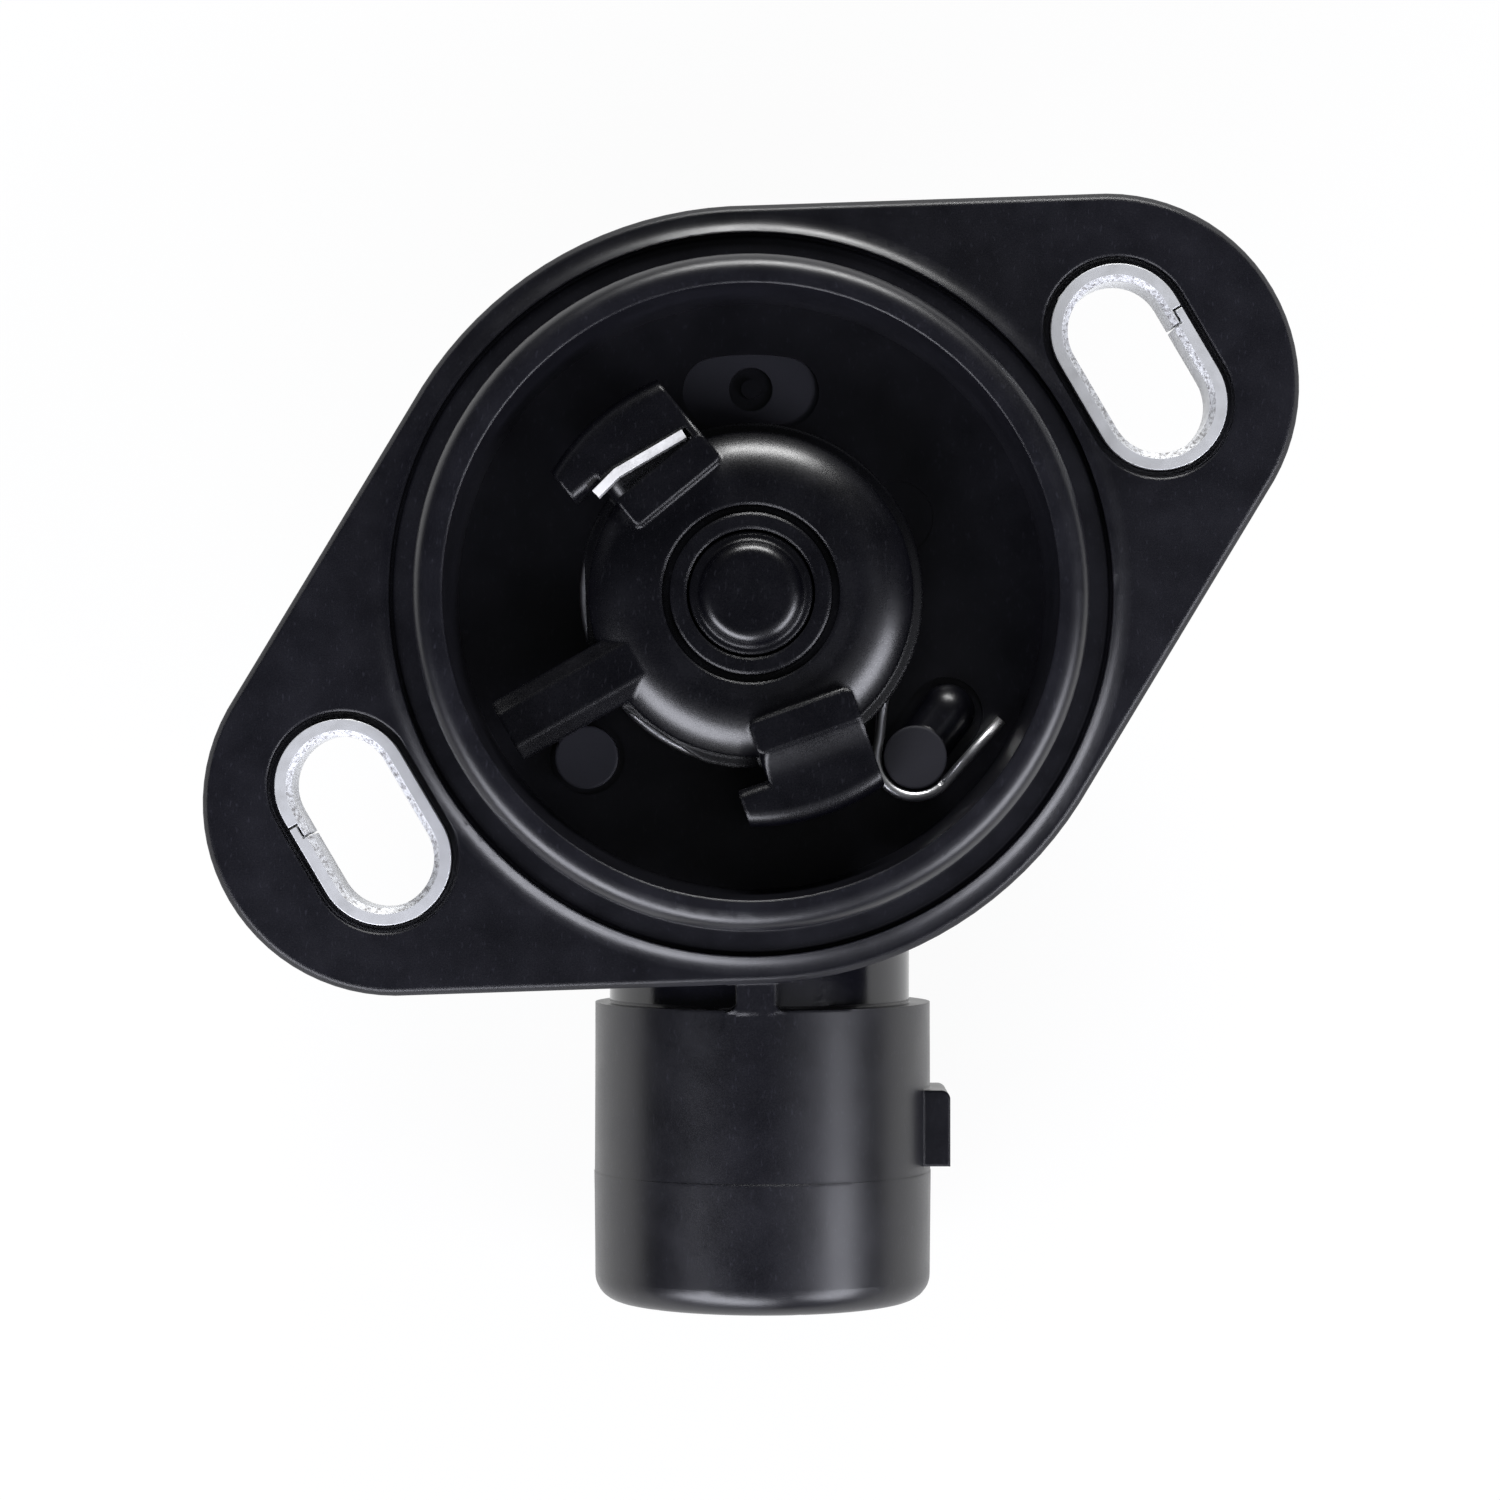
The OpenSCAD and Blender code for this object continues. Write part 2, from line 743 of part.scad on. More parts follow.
// Stops in the chamber that the carrier's tab meets at the two ends of its travel
module travel_stops() {
    tab_half = asin(tab_w / 2 / stop_r);
    play = 0.6;
    width = 12;
    for (edge = [tab_angle + tab_half + play, tab_angle - travel_deg - tab_half - play - width])
        sector(
            stop_r, chamber_r + 0.2, edge, edge + width,
            carrier_z - 0.2, ceiling_z + 0.2
        );
}

module housing() {
    color("#17171c")
        difference() {
            union() {
                difference() {
                    union() {
                        flange();
                        rotate_extrude()
                            pilot_profile();
                        translate([0, 0, back_z])
                            cylinder(h = -back_z - flange_t / 2, r = drum_r);
                        neck();
                        along_connector(conn_x)
                            rotate_extrude()
                                barrel_profile();
                        latch_lug();
                        neck_rib();
                    }
                    cup_space();
                    chamber_space();
                    tube(lip_groove_from, lip_r, -lip_groove_depth, lip_h + over);
                    floor_recesses();
                }
                for (side = [-1, 1])
                    spring_post(side);
                post_brace();
                gate_nub();
                translate([0, 0, bush_z])
                    cylinder(h = ceiling_z + 0.2 - bush_z, r = boss_r);
                travel_stops();
                key_ribs();
            }
            translate([0, 0, bush_z - over])
                cylinder(h = floor_z + 2 * over - bush_z, r = bush_r + seat_clear);
            translate([0, 0, seal_z])
                cylinder(h = floor_z + over - seal_z, r = seal_r + seat_clear);
            for (index = [-1, 0, 1])
                terminal_hole(index);
            for (side = [-1, 1])
                on_slot(side) {
                    slot_hole(bushing_w + 2 * seat_clear, screw_travel, -flange_t - over, over);
                    slot_hole(bushing_w + 2 * moat_w, screw_travel, -moat_depth, over);
                }
            translate([0, 0, cover_in_z])
                rotate_extrude()
                    translate([(board_r + cover_r) / 2 + 0.1, 0])
                        circle(d = cover_seal_d + 2 * seat_clear);
        }
}

// Bushings

// The joint of the rolled sleeve steps sideways half way through its wall
module bushing_joint_cut(side) {
    middle = bushing_w / 2 - bushing_wall / 2;
    y = screw_travel * 0.2;
    linear_extrude(2 * bushing_l, center = true)
        scale([side, 1]) {
            translate([middle - over, y - bushing_joint / 2])
                square([over + bushing_joint / 2, bushing_joint]);
            translate([middle - bushing_joint / 2, y - bushing_joint / 2])
                square([bushing_joint, bushing_joint_step + bushing_joint]);
            translate([middle - bushing_joint / 2, y + bushing_joint_step - bushing_joint / 2])
                square([over, bushing_joint]);
        }
}

module bushing(side) {
    low = -flange_t - bushing_proud;
    high = bushing_proud;
    color("#c9ccd2")
        on_slot(side)
            difference() {
                slot_hole(bushing_w, screw_travel, low, high);
                slot_hole(screw_slot_w, screw_travel, low - over, high + over);
                slot_funnel(
                    screw_slot_w, screw_travel,
                    high - bushing_chamfer, high + 0.01, bushing_chamfer + 0.01
                );
                mirror([0, 0, 1])
                    slot_funnel(
                        screw_slot_w, screw_travel,
                        -low - bushing_chamfer, -low + 0.01, bushing_chamfer + 0.01
                    );
                bushing_joint_cut(side);
            }
}

module bushing_upper() {
    bushing(1);
}

module bushing_lower() {
    bushing(-1);
}

// Rotor

module at_rest() {
    rotate([0, 0, arm_angle])
        children();
}

module dome_profile() {
    bore = shaft_r + seat_clear;
    groove_r = collar_r + collar_groove_w;
    middle_z = dome_z + dome_rise;
    collar_z = middle_z + collar_rise;
    difference() {
        union() {
            polygon([
                [bore, sleeve_z],
                [sleeve_r, sleeve_z],
                [sleeve_r, plate_z],
                [rim_r, plate_z],
                [rim_r, plate_z + rim_h / 2],
                [dome_r, plate_z + rim_h],
                [dome_r, dome_side_z],
                [dome_flat_r, dome_side_z],
                [dome_flat_r, dome_z],
                [groove_r, middle_z],
                [groove_r, middle_z - collar_groove_depth],
                [collar_r, middle_z - collar_groove_depth],
                [collar_r, collar_z],
                [bore, collar_z],
            ]);
            intersection() {
                translate([dome_flat_r, dome_z - dome_round])
                    circle(dome_round);
                translate([dome_flat_r - 0.1, dome_side_z - 0.1])
                    square([dome_r - dome_flat_r + 0.1, dome_z - dome_side_z + 0.2]);
            }
        }
        translate([0, dome_z - shaft_groove_depth])
            square([shaft_r + shaft_groove, shaft_groove_depth + 2 * over]);
    }
}

// Plans of a lug, with X out from the rotor's axis and its mouth towards -Y
module lug_inner_plan() {
    r = lug_corner_r;
    low = -lug_inner_l;
    high = lug_closed_l;
    translate([lug_inner_from + r, low])
        square([lug_slot_from - lug_inner_from - 2 * r, high - low]);
    translate([lug_inner_from, low + r])
        square([lug_slot_from - lug_inner_from, high - low - 2 * r]);
    for (x = [lug_inner_from + r, lug_slot_from - r], y = [low + r, high - r])
        translate([x, y])
            circle(r);
}

// The outer part is cut from a turned ring, so that its outer face and edge are true
module lug_ring() {
    r = lug_outer_r;
    half = lug_span / 2;
    rotate([0, 0, -half])
        rotate_extrude(angle = lug_span)
            union() {
                translate([lug_inner_from - over, plate_z])
                    square([r - lug_edge_r - lug_inner_from + over, lug_top_z - plate_z]);
                translate([lug_inner_from - over, plate_z])
                    square([r - lug_inner_from + over, lug_outer_z - lug_edge_r - plate_z]);
                translate([r - lug_edge_r, lug_outer_z - lug_edge_r])
                    circle(lug_edge_r);
            }
}

// What lies above the sweep that runs down from the inner block. Its level end crosses the
// rounding of the outer edge a hair below the top of that.
module lug_sweep_space() {
    l = lug_closed_l + lug_mouth_l + 2 * over;
    level = lug_outer_z - hair;
    translate([0, lug_closed_l + over, 0])
        rotate([90, 0, 0])
            linear_extrude(l)
                union() {
                    translate([lug_sweep_to, level + lug_sweep_r])
                        circle(lug_sweep_r);
                    translate([lug_sweep_to, level])
                        square([lug_outer_r, lug_sweep_r]);
                    translate([lug_inner_from - over, lug_sweep_z])
                        square([lug_outer_r, lug_sweep_r]);
                }
}

// The middle of a lug, from the inner block outwards. It rounds off at the mouth.
module lug_middle(from, to, top) {
    low = -lug_inner_l;
    high = lug_closed_l;
    r = lug_lead_r;
    translate([from, 0, 0])
        rotate([90, 0, 90])
            linear_extrude(to - from)
                union() {
                    translate([low, plate_z])
                        square([high - low, top - r - plate_z]);
                    translate([low + r, plate_z])
                        square([high - low - r, top - plate_z]);
                    translate([low + r, top - r])
                        circle(r);
                }
}

// The outer part beside the mouth, with its rounded edge over the mouth
module lug_outer_part() {
    r = lug_mouth_r;
    difference() {
        intersection() {
            lug_ring();
            translate([mouth_wall_x, -lug_mouth_l, plate_z - over])
                cube([lug_outer_r, lug_mouth_l + lug_closed_l, lug_top_z - plate_z + over]);
        }
        rotate([90, 0, 0])
            linear_extrude(lug_mouth_l + over)
                difference() {
                    translate([mouth_wall_x - over, lug_outer_z - r])
                        square([r + over, r + over]);
                    translate([mouth_wall_x + r - hair, lug_outer_z - r + hair])
                        circle(r);
                }
    }
}

// The upper lug's slot, from its floor's place upwards
module lug_slot() {
    inner = lug_slot_from - lug_corner_r / 2;
    translate([0, 0, plate_z - over])
        linear_extrude(lug_top_z - plate_z + 2 * over)
            polygon([
                [inner, -lug_inner_l - over],
                [mouth_wall_x, -lug_inner_l - over],
                [mouth_wall_x, mouth_wall_y],
                [slot_end_x, slot_end_y],
                [inner, slot_end_y],
            ]);
}

module drive_lug(slotted) {
    from = lug_slot_from - lug_corner_r;
    translate([0, 0, plate_z])
        linear_extrude(lug_top_z - plate_z)
            lug_inner_plan();
    difference() {
        union() {
            lug_outer_part();
            intersection() {
                lug_ring();
                lug_middle(from, mouth_wall_x + lug_mouth_r + 0.1, lug_top_z);
            }
        }
        lug_sweep_space();
        if (slotted)
            lug_slot();
    }
    if (slotted)
        lug_middle(from, mouth_wall_x + lug_corner_r, lug_floor_z);
}

module stop_arm() {
    root = dome_flat_r;
    shoulder_z = arm_top_z - arm_slope_h;
    translate([root, 0, 0])
        rotate([90, 0, 90])
            linear_extrude(arm_reach - root)
                polygon([
                    [-arm_w / 2, arm_base_z],
                    [arm_w / 2, arm_base_z],
                    [arm_w / 2, shoulder_z],
                    [arm_top_w / 2, arm_top_z],
                    [-arm_top_w / 2, arm_top_z],
                    [-arm_w / 2, shoulder_z],
                ]);
    for (flip = [0, 1])
        mirror([0, flip, 0])
            arm_corner();
}

// The fillet between the arm's side and the rotor crosses both a hair inside their faces
module arm_corner() {
    r = arm_fillet;
    y = arm_w / 2 + r - hair;
    x = sqrt(pow(dome_r + r - hair, 2) - pow(y, 2));
    inner = (dome_r - r) / dome_r;
    translate([0, 0, arm_base_z])
        linear_extrude(dome_side_z - 0.2 - arm_base_z)
            difference() {
                polygon([
                    [x * inner, arm_w / 2 - r / 2],
                    [x, arm_w / 2 - r / 2],
                    [x, y],
                    [x * inner, y * inner],
                ]);
                translate([x, y])
                    circle(r);
            }
}

module drive_rotor() {
    color("#1b1b20")
        at_rest()
            difference() {
                union() {
                    rotate_extrude()
                        dome_profile();
                    stop_arm();
                    for (flip = [0, 1])
                        mirror([0, flip, 0])
                            rotate([0, 0, lug_angle])
                                drive_lug(flip == 1);
                }
                for (side = [-1, 1])
                    rotate([0, 0, side * rim_flat_angle])
                        translate([rim_flat, -rim_flat / 2, plate_z - over])
                            cube([over, rim_flat, rim_h + over]);
                spring_catch();
            }
}

// Notch in the sleeve for the spring's inner leg
module spring_catch() {
    w = wire_d + 2 * catch_clear;
    rotate([0, 0, catch_angle - arm_angle])
        translate([sleeve_r - catch_depth, -w / 2, sleeve_z - over])
            cube([catch_depth + over, w, plate_z - sleeve_z + over]);
}

module rotor_shaft() {
    color("#1b1b20")
        rotate_extrude() {
            difference() {
                translate([0, shaft_end_z])
                    square([shaft_r, shaft_top_z - shaft_end_z]);
                translate([shaft_r - 0.35, carrier_z - ring_t - 0.05])
                    square([1, ring_t + 0.1]);
            }
            translate([0, shaft_top_z - 0.1])
                square([nub_r - nub_round, nub_h + 0.1]);
            translate([0, shaft_top_z - 0.1])
                square([nub_r, nub_h - nub_round + 0.1]);
            translate([nub_r - nub_round, shaft_top_z + nub_h - nub_round])
                intersection() {
                    circle(nub_round);
                    translate([0, -nub_round])
                        square([nub_round, 2 * nub_round]);
                }
        }
}

// One edge of the clip's plan, at a distance from its outer face. It runs along the slot's
// outer wall and then bends back into the mouth.
function clip_edge(inside, past) =
    let (free_l = lug_straight_l * 0.6 + past)
    [
        [-inside, clip_l + past],
        [-inside, inside * tan(clip_bend / 2)],
        free_l * [-sin(clip_bend), -cos(clip_bend)]
            + inside * [-cos(clip_bend), sin(clip_bend)],
    ];

module clip_plan(from, to, past) {
    near = clip_edge(from, past);
    far = clip_edge(to, past);
    polygon(concat(near, [far[2], far[1], far[0]]));
}

// The folded clip is open at the bottom and takes up the play of the lever's tongue
module drive_clip() {
    low = lug_floor_z + seat_clear;
    high = clip_top_z;
    color("#d8dade")
        at_rest()
            mirror([0, 1, 0])
                rotate([0, 0, lug_angle])
                    translate([mouth_wall_x, mouth_wall_y, 0])
                        rotate([0, 0, wall_turn])
                            translate([-seat_clear, 0, low])
                                difference() {
                                    linear_extrude(high - low)
                                        clip_plan(0, clip_w, 0);
                                    translate([0, 0, -over])
                                        linear_extrude(high - low + over - clip_sheet)
                                            clip_plan(clip_sheet, clip_w - clip_sheet, over);
                                }
}

// Return spring

// The coil starts at the catch in the rotor and climbs to the leg at the right-hand post
leg_angle = -33;
catch_angle = leg_angle + 360 * coil_turns;
wire_sides = 8;
step_angle = 10;
coil_steps = floor(360 * coil_turns / step_angle);
leg_z = min(coil_top_z, post_z - wire_d / 2);

function coil_point(i) =
    let (turned = 360 * coil_turns * i / coil_steps, a = catch_angle - turned)
    [
        coil_mean_r * cos(a),
        coil_mean_r * sin(a),
        coil_low_z + coil_pitch * turned / 360,
    ];

function hook_point(a) = [
    post_x + hook_r * cos(a),
    -post_y + hook_r * sin(a),
    leg_z,
];

hook_from = 165;
hook_to = 318;
hook_steps = 9;
hook_step = (hook_to - hook_from) / hook_steps;

spring_path = concat(
    [[
        (sleeve_r - 0.5) * cos(catch_angle),
        (sleeve_r - 0.5) * sin(catch_angle),
        coil_low_z,
    ]],
    [for (i = [0:coil_steps]) coil_point(i)],
    [for (i = [0:hook_steps]) hook_point(hook_from + i * hook_step)],
    [hook_point(hook_to) + spring_free_l * [-sin(hook_to), cos(hook_to), 0]]
);

function unit(v) = v / norm(v);

function path_direction(path, i) = unit(
    path[min(i + 1, len(path) - 1)] - path[max(i - 1, 0)]
);

// Rings of points round a path, joined to one closed skin
module wire(path, d, sides) {
    rings = [
        for (i = [0:len(path) - 1])
            let (
                t = path_direction(path, i),
                u = unit(cross(t, [0, 0, 1])),
                v = cross(u, t)
            )
            for (s = [0:sides - 1])
                path[i] + d / 2 * (cos(360 * s / sides) * u + sin(360 * s / sides) * v)
    ];
    last = (len(path) - 1) * sides;
    walls = [
        for (i = [0:len(path) - 2], s = [0:sides - 1])
            [
                i * sides + s,
                i * sides + (s + 1) % sides,
                (i + 1) * sides + (s + 1) % sides,
                (i + 1) * sides + s,
            ]
    ];
    ends = [
        [for (s = [sides - 1:-1:0]) s],
        [for (s = [0:sides - 1]) last + s],
    ];
    polyhedron(rings, concat(walls, ends), convexity = 6);
}

module return_spring() {
    color("#cfd2d6")
        wire(spring_path, wire_d, wire_sides);
}

// Bearing and sensing unit

module thrust_washer() {
    color("#8d8f94")
        tube(shaft_r + 0.15, thrust_r, floor_z, floor_z + thrust_t);
}

module shaft_seal() {
    color("#2c2a2a")
        difference() {
            tube(shaft_r + run_clear, seal_r, seal_z, seal_z + seal_h);
            tube(shaft_r + 0.6, seal_r - 0.6, seal_z + seal_h / 2, seal_z + seal_h + over);
        }
}

module bearing_bush() {
    color("#9a7b45")
        tube(shaft_r + run_clear, bush_r, bush_z, seal_z);
}

module wave_washer() {
    inner = shaft_r + 0.2;
    outer = bush_r + 0.6;
    sheet = 0.2;
    steps = 48;
    lift = (wave_h - sheet) / 2;
    points = [
        for (i = [0:steps - 1])
            let (a = 360 * i / steps, z = wave_z + wave_h / 2 + lift * cos(3 * a))
            for (p = [[inner, -1], [outer, -1], [outer, 1], [inner, 1]])
                [p[0] * cos(a), p[0] * sin(a), z + p[1] * sheet / 2]
    ];
    faces = [
        for (i = [0:steps - 1], s = [0:3])
            let (j = (i + 1) % steps, n = (s + 1) % 4)
            [i * 4 + s, i * 4 + n, j * 4 + n, j * 4 + s]
    ];
    color("#c4c6ca")
        polyhedron(points, faces, convexity = 6);
}

module wiper_carrier() {
    bore = shaft_r + seat_clear;
    color("#d9d4c4")
        difference() {
            union() {
                tube(bore, carrier_hub_r, carrier_z, carrier_z + carrier_h);
                tube(bore, carrier_r, carrier_z, carrier_z + carrier_t);
                rotate([0, 0, tab_angle])
                    translate([carrier_r - over, -tab_w / 2, carrier_z])
                        cube([tab_r - carrier_r + over, tab_w, carrier_t]);
                at_contact()
                    for (x = stake_at)
                        translate([x, 0, carrier_z - contact_t - 0.3])
                            cylinder(h = contact_t + 0.4, r = stake_r);
            }
            for (turn = [0:60:300])
                rotate([0, 0, tab_angle + 30 + turn])
                    translate([(carrier_hub_r + carrier_r) / 2, 0, carrier_z + carrier_t / 2])
                        cylinder(h = carrier_t, r = 1.5);
        }
}

// The contact lies behind its fingertips, seen in the sense of the rotor's travel
stake_r = 0.5;
stake_at = [collector_at, resistor_at];
finger_l = 4.6;
tip_setback = 4;

module at_contact() {
    rotate([0, 0, wiper_angle])
        translate([0, tip_setback, 0])
            children();
}

// One pair of fingers: a strip that leaves the base, slopes to the track and curls up again
module finger(x) {
    top = carrier_z - contact_t;
    low = board_z + track_t + 0.03;
    run = finger_l - 0.9;
    width = 0.55;
    for (side = [-1, 1])
        translate([x + side * 0.4 - width / 2, 0, 0])
            rotate([90, 0, 90])
                linear_extrude(width)
                    polygon([
                        [0, top + contact_t],
                        [0, top],
                        [-0.6, top],
                        [-run, low],
                        [-run - 0.5, low],
                        [-run - 1, low + 0.5],
                        [-run - 1, low + 0.5 + contact_t],
                        [-run - 0.35, low + contact_t],
                        [-run + 0.1, low + contact_t],
                        [-0.75, top + contact_t],
                    ]);
}

module wiper_contact() {
    base_from = collector_at - 1.2;
    base_to = resistor_at + 1.1;
    color("#d9a441")
        difference() {
            at_contact()
                union() {
                    translate([base_from, -0.9, carrier_z - contact_t])
                        cube([base_to - base_from, 2.1, contact_t]);
                    for (x = stake_at)
                        translate([0, -0.85, 0])
                            finger(x);
                }
            at_contact()
                for (x = stake_at)
                    translate([x, 0, carrier_z - contact_t - over])
                        cylinder(h = 2 * over, r = stake_r + seat_clear);
        }
}

module retaining_ring() {
    color("#b9bcc2")
        difference() {
            tube(shaft_r - 0.3, shaft_r + 1.1, carrier_z - ring_t, carrier_z);
            for (turn = [0:60:300])
                rotate([0, 0, turn])
                    translate([shaft_r - 0.5, -0.35, carrier_z - ring_t - over])
                        cube([1, 0.7, 3 * over]);
        }
}

module element_board() {
    color("#e6e1d2")
        difference() {
            tube(shaft_r + 0.8, board_r, board_z - board_t, board_z);
            for (index = [-1, 0, 1])
                terminal_tail(index, seat_clear);
        }
}

track_from = wiper_angle - travel_deg - 20;
track_to = wiper_angle + 20;

module resistor_track() {
    color("#2a2a2a")
        sector(
            resistor_at - track_w / 2, resistor_at + track_w / 2,
            track_from, track_to, board_z, board_z + track_t
        );
}

module collector_track() {
    color("#cfcfc8")
        sector(
            collector_at - track_w / 2, collector_at + track_w / 2,
            track_from, track_to, board_z, board_z + track_t
        );
}

module terminal_tail(index, gap) {
    translate([
        conn_x + index * terminal_pitch - tail_w / 2 - gap,
        -terminal_leg_at - terminal_t - gap,
        board_z - board_t - 0.35,
    ])
        cube([tail_w + 2 * gap, terminal_t + 2 * gap, board_t + 0.6]);
}

module terminal(index) {
    color("#d8b25a")
        union() {
            translate([conn_x + index * terminal_pitch, 0, conn_z - terminal_t / 2])
                linear_extrude(terminal_t)
                    polygon([
                        [-terminal_w / 2, -terminal_leg_at],
                        [-terminal_w / 2, -tip_at + 0.9],
                        [-terminal_w / 4, -tip_at],
                        [terminal_w / 4, -tip_at],
                        [terminal_w / 2, -tip_at + 0.9],
                        [terminal_w / 2, -terminal_leg_at],
                    ]);
            translate([
                conn_x + index * terminal_pitch - terminal_w / 2,
                -terminal_leg_at - terminal_t,
                board_z + 0.05,
            ])
                cube([terminal_w, terminal_t, conn_z - board_z]);
            terminal_tail(index, 0);
        }
}

module terminal_supply() {
    terminal(-1);
}

module terminal_signal() {
    terminal(0);
}

module terminal_ground() {
    terminal(1);
}

module solder_joints() {
    color("#b8bbc0")
        for (index = [-1, 0, 1])
            difference() {
                translate([
                    conn_x + index * terminal_pitch,
                    -terminal_leg_at - terminal_t / 2,
                    board_z - 1.5 * board_t,
                ])
                    cylinder(h = board_t / 2, r1 = 0.45 * tail_w, r2 = 0.85 * tail_w);
                terminal_tail(index, 0);
            }
}

// Back cover

module cover_seal() {
    color("#2c2a2a")
        translate([0, 0, cover_in_z])
            rotate_extrude()
                translate([(board_r + cover_r) / 2 + 0.1, 0])
                    intersection() {
                        circle(d = cover_seal_d);
                        translate([-cover_seal_d, 0])
                            square(2 * cover_seal_d);
                    }
}

module back_cover() {
    color("#1a1a1f")
        difference() {
            union() {
                translate([0, 0, back_z])
                    cylinder(h = cover_t, r = cover_r);
                tube(board_r - 0.9, board_r, cover_in_z - 0.1, cover_in_z + cover_rim_h);
            }
            translate([0, 0, back_z - over])
                cylinder(h = over + 0.3, r = cover_panel_r);
        }
}

housing();
bushing_upper();
bushing_lower();
drive_rotor();
rotor_shaft();
drive_clip();
return_spring();
thrust_washer();
shaft_seal();
bearing_bush();
wave_washer();
wiper_carrier();
wiper_contact();
retaining_ring();
element_board();
resistor_track();
collector_track();
terminal_supply();
terminal_signal();
terminal_ground();
solder_joints();
cover_seal();
back_cover();
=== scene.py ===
import math

import bmesh
import bpy
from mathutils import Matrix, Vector


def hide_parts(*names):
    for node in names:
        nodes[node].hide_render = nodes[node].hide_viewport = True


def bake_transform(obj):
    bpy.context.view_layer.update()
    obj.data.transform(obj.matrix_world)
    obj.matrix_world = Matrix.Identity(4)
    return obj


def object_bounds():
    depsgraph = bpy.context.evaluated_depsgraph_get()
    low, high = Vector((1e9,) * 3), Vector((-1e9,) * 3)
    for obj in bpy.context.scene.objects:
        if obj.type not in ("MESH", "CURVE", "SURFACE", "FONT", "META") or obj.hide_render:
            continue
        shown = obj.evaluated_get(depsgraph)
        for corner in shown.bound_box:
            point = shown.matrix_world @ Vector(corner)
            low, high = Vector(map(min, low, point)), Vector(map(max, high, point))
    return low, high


# The part's lengths below are in millimetres, and MM turns them into Blender's metres
MM = 0.001

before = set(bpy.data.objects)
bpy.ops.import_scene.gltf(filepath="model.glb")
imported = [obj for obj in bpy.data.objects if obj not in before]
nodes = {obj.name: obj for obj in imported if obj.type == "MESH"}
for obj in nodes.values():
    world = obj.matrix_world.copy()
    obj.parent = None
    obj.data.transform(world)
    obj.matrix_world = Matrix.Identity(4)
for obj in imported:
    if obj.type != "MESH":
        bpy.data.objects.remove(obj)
cad_low, cad_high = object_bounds()


# Materials

PLASTIC_IOR = 1.6
RUBBER_IOR = 1.5


